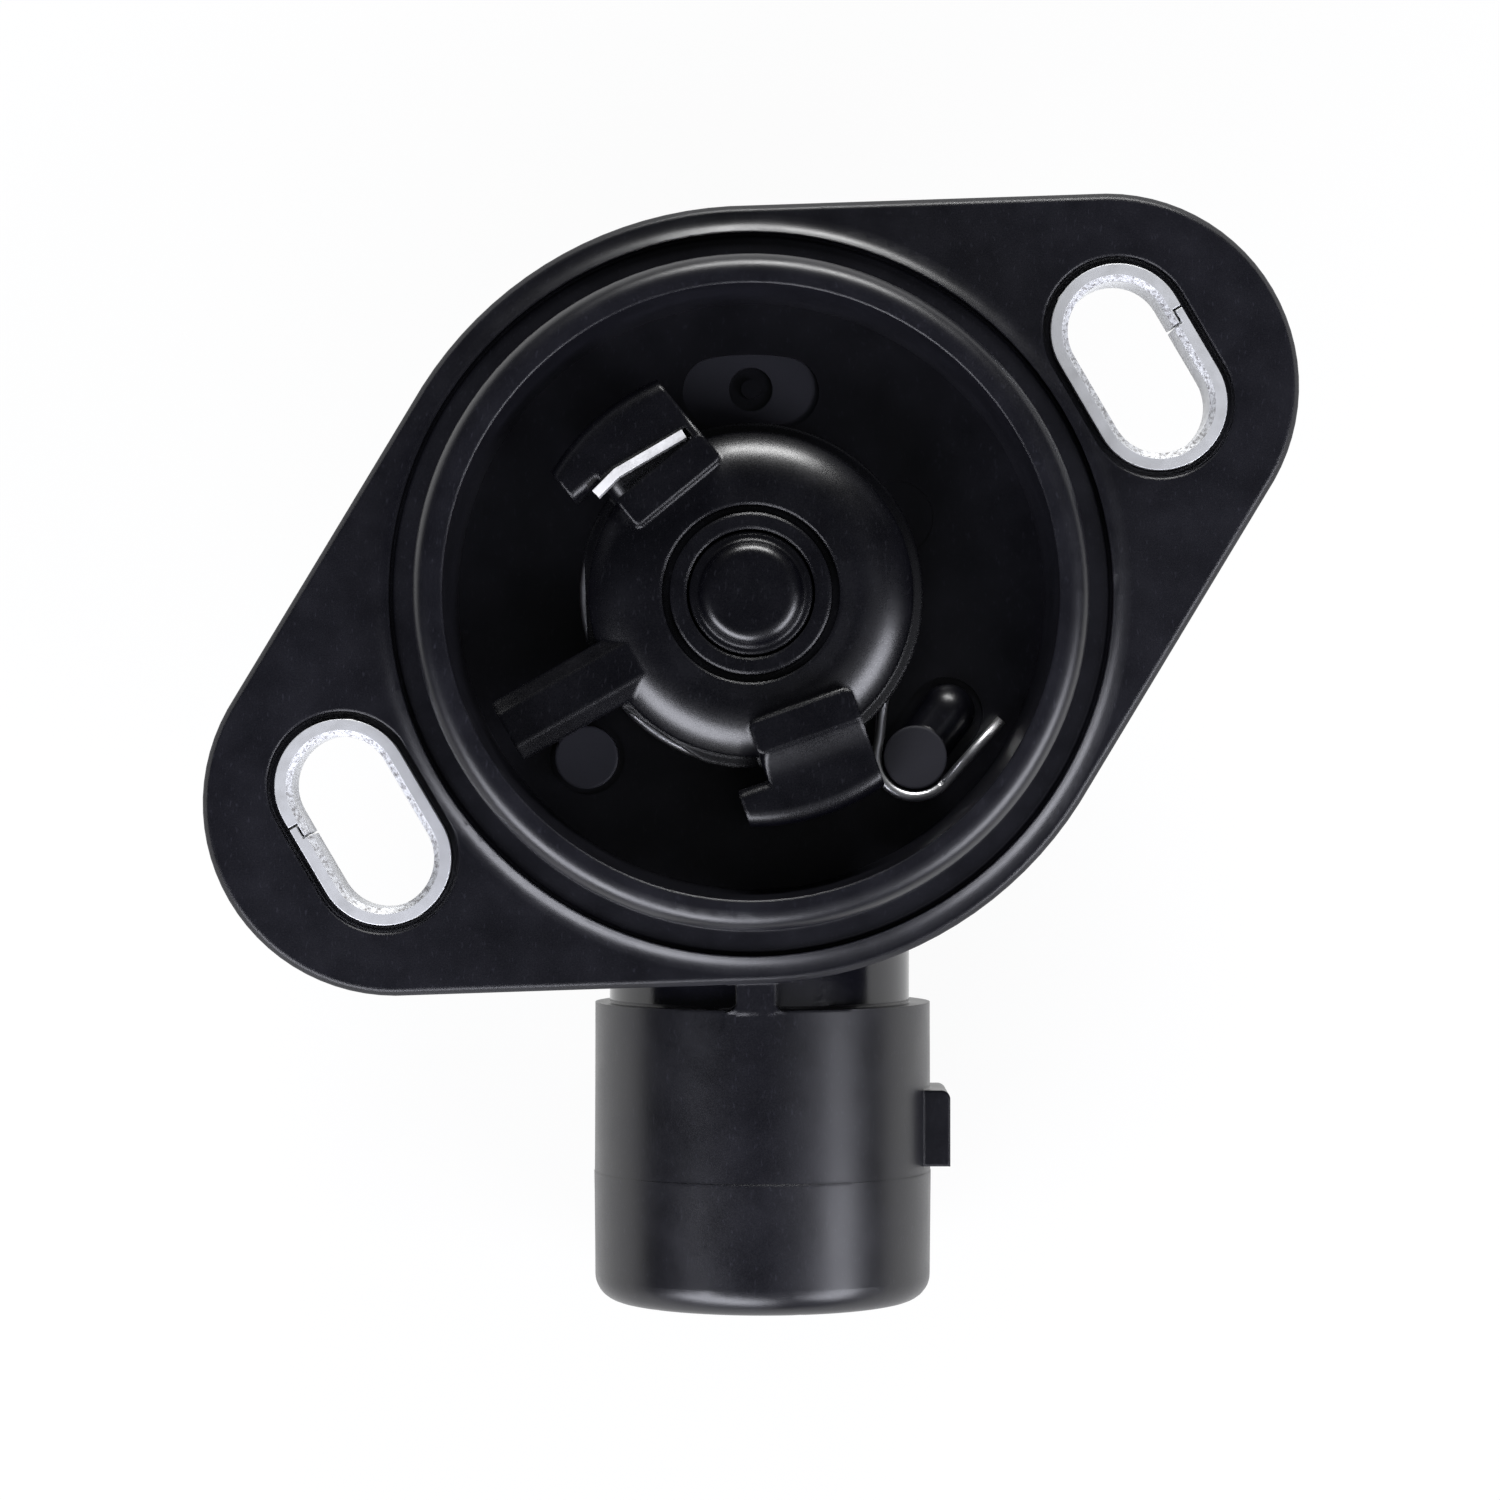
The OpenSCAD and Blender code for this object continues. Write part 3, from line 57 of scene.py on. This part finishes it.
class Graph:
    """A small wrapper that makes nodes and links them in one line."""

    def __init__(self, name):
        self.material = bpy.data.materials.new(name)
        self.material.use_nodes = True
        self.tree = self.material.node_tree
        self.tree.nodes.clear()
        self.out = self.add("ShaderNodeOutputMaterial")
        self.coords = self.add("ShaderNodeTexCoord").outputs["Object"]
        self.flat = self.add("ShaderNodeNewGeometry").outputs["Normal"]
        self.bevels = {}

    def link(self, socket, value):
        if isinstance(value, bpy.types.NodeSocket):
            self.tree.links.new(value, socket)
        else:
            socket.default_value = value

    def add(self, kind, inputs=None, **settings):
        node = self.tree.nodes.new(kind)
        for key, value in settings.items():
            setattr(node, key, value)
        for key, value in (inputs or {}).items():
            self.link(node.inputs[key], value)
        return node

    def noise(self, size_mm, detail=3.0, roughness=0.55, stretch=None):
        vector = self.coords
        if stretch:
            vector = self.add(
                "ShaderNodeMapping", {"Vector": vector, "Scale": stretch}
            ).outputs[0]
        return self.add(
            "ShaderNodeTexNoise",
            {
                "Vector": vector,
                "Scale": 1 / (size_mm * MM),
                "Detail": detail,
                "Roughness": roughness,
            },
        ).outputs["Fac"]

    def remap(self, value, low, high, to_low=0.0, to_high=1.0):
        """Stretch a value from one range to another, and hold it at the ends."""
        inputs = {
            "Value": value,
            "From Min": low,
            "From Max": high,
            "To Min": to_low,
            "To Max": to_high,
        }
        return self.add("ShaderNodeMapRange", inputs).outputs["Result"]

    def above(self, value, limit, soft):
        """0 below a limit and 1 above it, with a soft step."""
        return self.remap(value, limit - soft, limit + soft)

    def below(self, value, limit, soft):
        """1 below a limit and 0 above it, with a soft step."""
        return self.remap(value, limit - soft, limit + soft, 1.0, 0.0)

    def band(self, value, low, high, soft=0.03):
        """1 where a value lies between two limits, with soft ends outside them."""
        return self.times(
            self.remap(value, low - soft, low), self.remap(value, high, high + soft, 1.0, 0.0)
        )

    def math(self, operation, a, b=0.0):
        return self.add("ShaderNodeMath", {0: a, 1: b}, operation=operation).outputs[0]

    def times(self, *factors):
        value = factors[0]
        for factor in factors[1:]:
            value = self.math("MULTIPLY", value, factor)
        return value

    def mix(self, factor, a, b):
        """Mix of two colours."""
        node = self.add("ShaderNodeMix", data_type="RGBA")
        for index, value in ((0, factor), (6, a), (7, b)):
            self.link(node.inputs[index], value)
        return node.outputs[2]

    def blend(self, factor, a, b):
        """Mix of two normals."""
        node = self.add("ShaderNodeMix", data_type="VECTOR")
        for index, value in ((0, factor), (4, a), (5, b)):
            self.link(node.inputs[index], value)
        return node.outputs[1]

    def vector(self, operation, a, b=None):
        inputs = {0: a}
        if b is not None:
            inputs[1] = b
        return self.add("ShaderNodeVectorMath", inputs, operation=operation).outputs

    def scaled(self, a, factor):
        inputs = {0: a, "Scale": factor}
        return self.add("ShaderNodeVectorMath", inputs, operation="SCALE").outputs[0]

    def place(self):
        """X, Y and Z in the part's own frame, in millimetres."""
        return self.add("ShaderNodeSeparateXYZ", {0: self.scaled(self.coords, 1 / MM)}).outputs

    def off_axis(self):
        """The vector from the part's axis, in millimetres."""
        place = self.place()
        return self.add("ShaderNodeCombineXYZ", {0: place["X"], 1: place["Y"]}).outputs[0]

    def radius(self):
        """Distance from the part's axis, in millimetres."""
        return self.vector("LENGTH", self.off_axis())["Value"]

    def lean(self, normal, slope):
        """Tilt a normal away from the part's axis."""
        outwards = self.vector("NORMALIZE", self.off_axis())[0]
        both = self.vector("ADD", normal, self.scaled(outwards, slope))[0]
        return self.vector("NORMALIZE", both)[0]

    def rounded(self, radius_mm):
        """The normal as if the edges of the piece were rounded."""
        if radius_mm not in self.bevels:
            self.bevels[radius_mm] = self.add(
                "ShaderNodeBevel", {"Radius": radius_mm * MM}, samples=6
            ).outputs["Normal"]
        return self.bevels[radius_mm]

    def edge(self, radius_mm, low=0.02, high=0.25):
        """1 along the edges of the piece and 0 on its faces."""
        dot = self.vector("DOT_PRODUCT", self.rounded(radius_mm), self.flat)["Value"]
        return self.remap(self.math("SUBTRACT", 1.0, dot), low, high)

    def bump(self, height, strength, distance_mm, normal=None):
        inputs = {"Height": height, "Strength": strength, "Distance": distance_mm * MM}
        if normal is not None:
            inputs["Normal"] = normal
        return self.add("ShaderNodeBump", inputs).outputs["Normal"]

    def finish(self, colour, roughness, normal, metallic=0.0, ior=None):
        inputs = {
            "Base Color": colour,
            "Metallic": metallic,
            "Roughness": roughness,
            "Normal": normal,
        }
        if ior is not None:
            inputs["IOR"] = ior
        shader = self.add("ShaderNodeBsdfPrincipled", inputs)
        self.tree.links.new(shader.outputs["BSDF"], self.out.inputs["Surface"])
        return self.material


def rgb(r, g, b):
    return (r, g, b, 1.0)


def paler(colour, gain, lift):
    return rgb(*(min(1.0, gain * part + lift) for part in colour[:3]))


# Where the housing's forms lie, which its masks need
CUP_FLOOR = -3.6
CUP_CORNER_TOP, CUP_CORNER_LOW = -2.5, -4.2
PAD_LEVEL = CUP_FLOOR - 0.25
PAD_AT = 11.7
PAD_FROM = 6.1
DIMPLE_R = 1.24
POST_TOP = CUP_FLOOR + 1.75
POSTS_WITHIN = 15.05
LAND_LOW, LAND_TOP = 0.3, 1.2
LAND_FROM, LAND_TO = 18.6, 19.8
RING_FOOT = 0.02
RING_FOOT_FROM = 19.95
NECK_END, NECK_ROOT = -23.0, -17.0
NECK_TOP = -2.05


def cup_matte(g):
    """The gate pad and the tops of the two posts, which the tool left rough."""
    place = g.place()
    centre = (0.0, PAD_AT * MM, PAD_LEVEL * MM)
    from_centre = g.vector("DISTANCE", g.coords, centre)["Value"]
    pad = g.times(
        g.band(place["Z"], PAD_LEVEL - 0.1, PAD_LEVEL + 0.1),
        g.above(place["Y"], PAD_FROM, 0.1),
        g.above(from_centre, DIMPLE_R * MM, 0.02 * MM),
    )
    tops = g.times(
        g.band(place["Z"], POST_TOP - 0.02, POST_TOP + 0.02),
        g.below(g.radius(), POSTS_WITHIN, 0.05),
    )
    return g.math("MAXIMUM", pad, tops)


def neck_polish(g):
    """1 on the neck, where the mould is polished so that the part comes out."""
    place = g.place()
    along = g.band(place["Y"], NECK_END, NECK_ROOT)
    return g.times(along, g.below(place["Z"], NECK_TOP, 0.05))


def plain_corner(g):
    """1 in the sharp inner corners, at the bottom of the cup and at the foot of the ring."""
    z = g.place()["Z"]
    in_cup = g.times(g.below(z, CUP_CORNER_TOP, 0.1), g.above(z, CUP_CORNER_LOW, 0.1))
    at_foot = g.times(
        g.band(z, RING_FOOT, LAND_LOW, 0.02), g.above(g.radius(), RING_FOOT_FROM, 0.05)
    )
    return g.math("MAXIMUM", in_cup, at_foot)


def land_slope(g):
    """The land round the ring falls away outwards by a few degrees."""
    r = g.radius()
    land = g.times(
        g.band(g.place()["Z"], LAND_LOW, LAND_TOP, 0.1), g.band(r, LAND_FROM, LAND_TO, 0.15)
    )
    return g.times(land, g.remap(r, LAND_FROM, LAND_TO, 0.16, 0.07))


def moulded(name, dark, light, roughness, edge_mm=0.16, fleck=0.5, housing=False):
    """Glass-filled moulding: a fine eroded grain, pale flecks of fibre, and edges painted
    paler, partly as rubbed wear and partly as a painted edge highlight.
    """
    g = Graph(name)
    cloud = g.noise(2.6, 4.0)
    fine = g.noise(0.09, 2.0)
    flecks = g.noise(0.16, 1.0, stretch=(1.0, 0.35, 1.0))
    pale = paler(light, 2.4, 0.012)
    colour = g.mix(g.remap(cloud, 0.3, 0.75), dark, light)
    colour = g.mix(g.remap(flecks, 0.63, 0.8, 0.0, fleck), colour, pale)
    normal = g.rounded(edge_mm)
    # Edge mask: partly real rubbed wear, partly a painted highlight along the edges
    rubbed_and_lit_edge = g.times(g.edge(edge_mm), g.remap(g.noise(0.7, 2.0), 0.35, 0.7, 0.3, 0.7))
    if housing:
        sharp = plain_corner(g)
        normal = g.blend(sharp, normal, g.flat)
        rubbed_and_lit_edge = g.times(rubbed_and_lit_edge, g.math("SUBTRACT", 1.0, sharp))
        normal = g.lean(normal, land_slope(g))
    # Painted highlight: the edges are made paler in colour, partly as rubbed wear and partly
    # as painted edge light
    colour = g.mix(g.times(rubbed_and_lit_edge, 0.3), colour, pale)
    rough = g.math(
        "ADD",
        g.remap(cloud, 0.25, 0.8, roughness - 0.03, roughness + 0.05),
        g.remap(fine, 0.3, 0.7, -0.03, 0.04),
    )
    rough = g.math("SUBTRACT", rough, g.times(rubbed_and_lit_edge, 0.04))
    if housing:
        rough = g.math("SUBTRACT", rough, g.times(neck_polish(g), 0.2))
        matte = cup_matte(g)
        colour = g.mix(matte, colour, paler(light, 2.6, 0.006))
        rough = g.math("ADD", rough, g.times(matte, 0.3))
    normal = g.bump(g.noise(0.55, 2.0), 0.1, 0.02, normal)
    normal = g.bump(fine, 0.3, 0.008, normal)
    return g.finish(colour, rough, normal, ior=PLASTIC_IOR)


def plated(name, colour, shade, roughness, scratch=(1.0, 1.0, 1.0), edge_mm=0.06, depth=0.3):
    """Plated or bare metal: drawn scratches, small stains and bright rubbed edges."""
    g = Graph(name)
    stain = g.noise(1.6, 5.0)
    lines = g.noise(0.08, 3.0, 0.6, stretch=scratch)
    tint = g.mix(g.remap(stain, 0.35, 0.75), colour, shade)
    rough = g.math(
        "ADD",
        g.remap(stain, 0.3, 0.75, roughness - 0.06, roughness + 0.12),
        g.remap(lines, 0.3, 0.7, -0.05, 0.07),
    )
    rough = g.math("SUBTRACT", rough, g.times(g.edge(edge_mm), 0.06))
    normal = g.bump(lines, depth, 0.006, g.rounded(edge_mm))
    return g.finish(tint, rough, normal, metallic=1.0)


def soft_rubber(name):
    """Moulded rubber: dull, with a fine grain and a faint bloom."""
    g = Graph(name)
    cloud = g.noise(1.2, 4.0)
    colour = g.mix(cloud, rgb(0.018, 0.016, 0.015), rgb(0.04, 0.036, 0.033))
    rough = g.remap(cloud, 0.3, 0.7, 0.62, 0.82)
    normal = g.bump(g.noise(0.1, 3.0), 0.3, 0.01, g.rounded(0.08))
    return g.finish(colour, rough, normal, ior=RUBBER_IOR)


def printed(name, dark, light, roughness, metallic=0.0):
    """A screened ink film with the faint weave of its screen."""
    g = Graph(name)
    grain = g.noise(0.12, 4.0)
    weave = g.add(
        "ShaderNodeTexWave", {"Vector": g.coords, "Scale": 3.0 / MM, "Distortion": 0.6}
    ).outputs["Fac"]
    colour = g.mix(grain, dark, light)
    rough = g.remap(grain, 0.3, 0.7, roughness - 0.08, roughness + 0.1)
    normal = g.bump(g.math("ADD", weave, grain), 0.2, 0.008)
    return g.finish(colour, rough, normal, metallic)


def bushing_metal(name):
    """The sleeve's end faces are smooth, and its inner chamfers are rough from coining."""
    g = Graph(name)
    up = g.math("ABSOLUTE", g.add("ShaderNodeSeparateXYZ", {0: g.flat}).outputs["Z"])
    slope = g.times(g.remap(up, 0.3, 0.5), g.remap(up, 0.85, 0.97, 1.0, 0.0))
    stain = g.noise(1.3, 5.0)
    coined = g.noise(0.22, 4.0, 0.7)
    fine = g.noise(0.07, 2.0)
    colour = g.mix(g.remap(stain, 0.35, 0.75), rgb(0.9, 0.91, 0.92), rgb(0.76, 0.77, 0.79))
    pits = g.times(slope, g.remap(coined, 0.45, 0.65))
    colour = g.mix(pits, colour, rgb(0.34, 0.33, 0.33))
    rough = g.math("ADD", g.remap(stain, 0.3, 0.75, 0.5, 0.62), g.times(slope, 0.1))
    height = g.math("ADD", g.times(fine, 0.25), g.times(slope, coined, 2.5))
    normal = g.bump(height, 0.5, 0.02, g.rounded(0.07))
    return g.finish(colour, rough, normal, metallic=1.0)


housing_plastic = moulded(
    "housing_plastic",
    rgb(0.0026, 0.0026, 0.005),
    rgb(0.0052, 0.0052, 0.0092),
    0.33,
    edge_mm=0.24,
    housing=True,
)
rotor_plastic = moulded(
    "rotor_plastic",
    rgb(0.001, 0.001, 0.0022),
    rgb(0.0022, 0.0022, 0.0042),
    0.27,
    edge_mm=0.32,
)
cover_plastic = moulded(
    "cover_plastic", rgb(0.009, 0.009, 0.011), rgb(0.014, 0.014, 0.017), 0.44
)
carrier_plastic = moulded(
    "carrier_plastic", rgb(0.62, 0.58, 0.47), rgb(0.7, 0.66, 0.56), 0.45, fleck=0.2
)
steel = plated("steel", rgb(0.42, 0.43, 0.45), rgb(0.3, 0.3, 0.32), 0.34)
bushing_steel = bushing_metal("bushing_steel")
spring_steel = plated(
    "spring_steel", rgb(0.88, 0.88, 0.89), rgb(0.7, 0.71, 0.73), 0.36, scratch=(0.3, 1, 1)
)
clip_steel = plated(
    "clip_steel", rgb(0.97, 0.97, 0.97), rgb(0.93, 0.93, 0.93), 0.62, edge_mm=0.04, depth=0.1
)
bronze = plated("bronze", rgb(0.62, 0.42, 0.2), rgb(0.42, 0.28, 0.13), 0.4)
brass = plated("brass", rgb(0.83, 0.66, 0.34), rgb(0.68, 0.5, 0.24), 0.26)
solder = plated("solder", rgb(0.66, 0.67, 0.69), rgb(0.5, 0.51, 0.53), 0.3)
rubber = soft_rubber("rubber")
board = printed("board", rgb(0.62, 0.58, 0.47), rgb(0.7, 0.67, 0.56), 0.5)
carbon_print = printed("carbon_print", rgb(0.012, 0.012, 0.013), rgb(0.03, 0.03, 0.03), 0.42)
silver_print = printed("silver_print", rgb(0.6, 0.6, 0.58), rgb(0.74, 0.74, 0.72), 0.34, 0.8)

FINISH = {
    "housing": housing_plastic,
    "bushing_upper": bushing_steel,
    "bushing_lower": bushing_steel,
    "drive_rotor": rotor_plastic,
    "rotor_shaft": rotor_plastic,
    "drive_clip": clip_steel,
    "return_spring": spring_steel,
    "thrust_washer": steel,
    "shaft_seal": rubber,
    "bearing_bush": bronze,
    "wave_washer": spring_steel,
    "wiper_carrier": carrier_plastic,
    "wiper_contact": brass,
    "retaining_ring": steel,
    "element_board": board,
    "resistor_track": carbon_print,
    "collector_track": silver_print,
    "terminal_supply": brass,
    "terminal_signal": brass,
    "terminal_ground": brass,
    "solder_joints": solder,
    "cover_seal": rubber,
    "back_cover": cover_plastic,
}
for name, material in FINISH.items():
    slots = nodes[name].data.materials
    slots.clear()
    slots.append(material)


def new_object(name, data):
    obj = bpy.data.objects.new(name, data)
    bpy.context.scene.collection.objects.link(obj)
    return obj


# Return spring

# The solid's wire has eight sides. This one is round and runs smoothly from coil to hook.
# Angles are in degrees, and the coil runs from CATCH down to LEG
WIRE_R = 0.3
WIRE_SIDES = 16
CATCH_R = 7.5
COIL_R = 9.28
COIL_LOW, COIL_PITCH = -3.28, 0.64
COIL_STEP = 5
CATCH, LEG = 687, -33
LEG_STEPS = 8
POST = Vector((9.2, -9.05))
HOOK_R, LEG_Z = 2.19, -2.15
HOOK_FROM, HOOK_TO, HOOK_STEP = 165, 318, 9
FREE_END = 4.8


def polar(radius, angle):
    a = math.radians(angle)
    return Vector((radius * math.cos(a), radius * math.sin(a)))


def raised(flat, z):
    return Vector((flat.x, flat.y, z))


def smooth_curve(start, leaving, end, arriving, t):
    """A point of Hermite's curve, which leaves and arrives in the given directions."""
    return (
        (2 * t**3 - 3 * t**2 + 1) * start
        + (t**3 - 2 * t**2 + t) * leaving
        + (-2 * t**3 + 3 * t**2) * end
        + (t**3 - t**2) * arriving
    )


def spring_points():
    """The middle of the wire: its caught end, the coil, the leg, the hook and the free end."""
    points = [raised(polar(CATCH_R, CATCH), COIL_LOW)]
    for turned in range(0, CATCH - LEG + 1, COIL_STEP):
        z = COIL_LOW + COIL_PITCH * turned / 360
        points.append(raised(polar(COIL_R, CATCH - turned), z))
    coil_end = points[-1]
    hook_start = POST + polar(HOOK_R, HOOK_FROM)
    chord = (hook_start - coil_end.xy).length
    leaving = chord * polar(1, LEG - 90)
    arriving = chord * polar(1, HOOK_FROM + 90)
    for step in range(1, LEG_STEPS):
        t = step / LEG_STEPS
        flat = smooth_curve(coil_end.xy, leaving, hook_start, arriving, t)
        points.append(raised(flat, coil_end.z + (LEG_Z - coil_end.z) * t))
    for angle in range(HOOK_FROM, HOOK_TO + 1, HOOK_STEP):
        points.append(raised(POST + polar(HOOK_R, angle), LEG_Z))
    hook_end = POST + polar(HOOK_R, HOOK_TO)
    onwards = polar(1, HOOK_TO + 90)
    for length in (0, FREE_END / 2, FREE_END):
        points.append(raised(hook_end + onwards * length, LEG_Z))
    return points


def wire_piece(name, points, radius):
    """A round wire along points, with flat ends."""
    bm = bmesh.new()
    rings = []
    for i, point in enumerate(points):
        ahead = points[min(i + 1, len(points) - 1)] - points[max(i - 1, 0)]
        ahead.normalize()
        side = ahead.cross(Vector((0, 0, 1))).normalized()
        up = side.cross(ahead)
        ring = []
        for s in range(WIRE_SIDES):
            a = 2 * math.pi * s / WIRE_SIDES
            on_wire = point + radius * (math.cos(a) * side + math.sin(a) * up)
            ring.append(bm.verts.new(on_wire * MM))
        rings.append(ring)
    for one, two in zip(rings, rings[1:]):
        for s in range(WIRE_SIDES):
            t = (s + 1) % WIRE_SIDES
            face = bm.faces.new((one[s], one[t], two[t], two[s]))
            face.smooth = True
    bm.faces.new(rings[0][::-1])
    bm.faces.new(rings[-1])
    bmesh.ops.recalc_face_normals(bm, faces=bm.faces)
    mesh = bpy.data.meshes.new(name)
    bm.to_mesh(mesh)
    bm.free()
    return new_object(name, mesh)


wire = wire_piece("spring_wire", spring_points(), WIRE_R)
wire.data.materials.append(spring_steel)
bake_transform(wire)
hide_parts("return_spring")


# Stage

FLOOR_SIZE = 3000
FLOOR_GAP = 0.02
# The share of the floor's white that is its own light, seen directly and in reflections
SEEN_GLOW, REFLECTED_GLOW = 0.94, 0.9
FILL_COLOUR = rgb(0.88, 0.92, 1.0)
FILL_STRENGTH = 0.03


def plane(name, size, z):
    mesh = bpy.data.meshes.new(name)
    h = size / 2
    mesh.from_pydata([(-h, -h, z), (h, -h, z), (h, h, z), (-h, h, z)], [], [(0, 1, 2, 3)])
    return new_object(name, mesh)


def floor_paper():
    """White paper from above, and clear from below."""
    g = Graph("floor_paper")
    path = g.add("ShaderNodeLightPath").outputs
    tone = g.noise(9.0, 3.0)
    white = g.mix(tone, rgb(0.88, 0.88, 0.88), rgb(0.91, 0.91, 0.91))
    paper = g.add("ShaderNodeBsdfDiffuse", {"Color": white}).outputs[0]
    glow = g.add("ShaderNodeEmission", {"Color": rgb(1, 1, 1), "Strength": 1.0}).outputs[0]
    reflected = g.math("MAXIMUM", path["Is Glossy Ray"], path["Is Transmission Ray"])
    share = g.math(
        "MAXIMUM",
        g.times(path["Is Camera Ray"], SEEN_GLOW),
        g.times(reflected, REFLECTED_GLOW),
    )
    upper = g.add("ShaderNodeMixShader", {0: share, 1: paper, 2: glow}).outputs[0]
    clear = g.add("ShaderNodeBsdfTransparent").outputs[0]
    behind = g.add("ShaderNodeNewGeometry").outputs["Backfacing"]
    both = g.add("ShaderNodeMixShader", {0: behind, 1: upper, 2: clear}).outputs[0]
    g.link(g.out.inputs["Surface"], both)
    return g.material


def studio_world():
    """White to the camera, and a faint cool fill for everything else."""
    world = bpy.data.worlds.new("studio")
    world.use_nodes = True
    tree = world.node_tree
    tree.nodes.clear()
    fill = tree.nodes.new("ShaderNodeBackground")
    fill.inputs["Color"].default_value = FILL_COLOUR
    fill.inputs["Strength"].default_value = FILL_STRENGTH
    white = tree.nodes.new("ShaderNodeBackground")
    white.inputs["Color"].default_value = rgb(1, 1, 1)
    white.inputs["Strength"].default_value = 1.0
    ray = tree.nodes.new("ShaderNodeLightPath")
    mixer = tree.nodes.new("ShaderNodeMixShader")
    output = tree.nodes.new("ShaderNodeOutputWorld")
    tree.links.new(ray.outputs["Is Camera Ray"], mixer.inputs[0])
    tree.links.new(fill.outputs[0], mixer.inputs[1])
    tree.links.new(white.outputs[0], mixer.inputs[2])
    tree.links.new(mixer.outputs[0], output.inputs["Surface"])
    return world


def soft_box(name, azimuth, elevation, distance, wide, tall, brightness, tint=(1, 1, 1)):
    """A soft box that points at the part. Azimuth is measured from +X towards +Y. The angles
    it covers, seen from the part, are given in degrees, its distance is in metres, and its
    brightness is 1 for white."""
    data = bpy.data.lights.new(name, "AREA")
    data.shape = "RECTANGLE"
    data.size = 2 * distance * math.tan(math.radians(wide / 2))
    data.size_y = 2 * distance * math.tan(math.radians(tall / 2))
    data.energy = brightness * math.pi * data.size * data.size_y
    data.color = tint
    obj = new_object(name, data)
    a, e = math.radians(azimuth), math.radians(elevation)
    where = Vector((math.cos(a) * math.cos(e), math.sin(a) * math.cos(e), math.sin(e)))
    obj.location = where * distance
    obj.rotation_euler = where.to_track_quat("Z", "Y").to_euler()


floor = plane("floor", FLOOR_SIZE * MM, cad_low.z - FLOOR_GAP * MM)
floor.data.materials.append(floor_paper())
bpy.context.scene.world = studio_world()

COOL = (0.9, 0.91, 1.0)
soft_box("strip_back", 84, 26, 0.5, 32, 13, 22.0)
soft_box("box_front_left", 242, 32, 0.35, 52, 25, 9.2, COOL)
soft_box("box_front_right", -34, 31, 0.5, 34, 24, 9.2, COOL)
soft_box("box_high_right", -40, 62, 0.5, 50, 24, 0.3, COOL)


# Camera, straight above the part and a little nearer the connector than the axis

CAMERA_AT = Vector((-0.05, -8.64, 250))
LENS, SENSOR = 108.0, 36.0
# In metres
CLIP_NEAR, CLIP_FAR = 0.01, 10.0

camera_data = bpy.data.cameras.new("camera")
camera_data.sensor_width = SENSOR
camera_data.lens = LENS
camera_data.clip_start = CLIP_NEAR
camera_data.clip_end = CLIP_FAR
camera = new_object("camera", camera_data)
camera.location = CAMERA_AT * MM
bpy.context.scene.camera = camera
bpy.context.scene.view_settings.view_transform = "Standard"
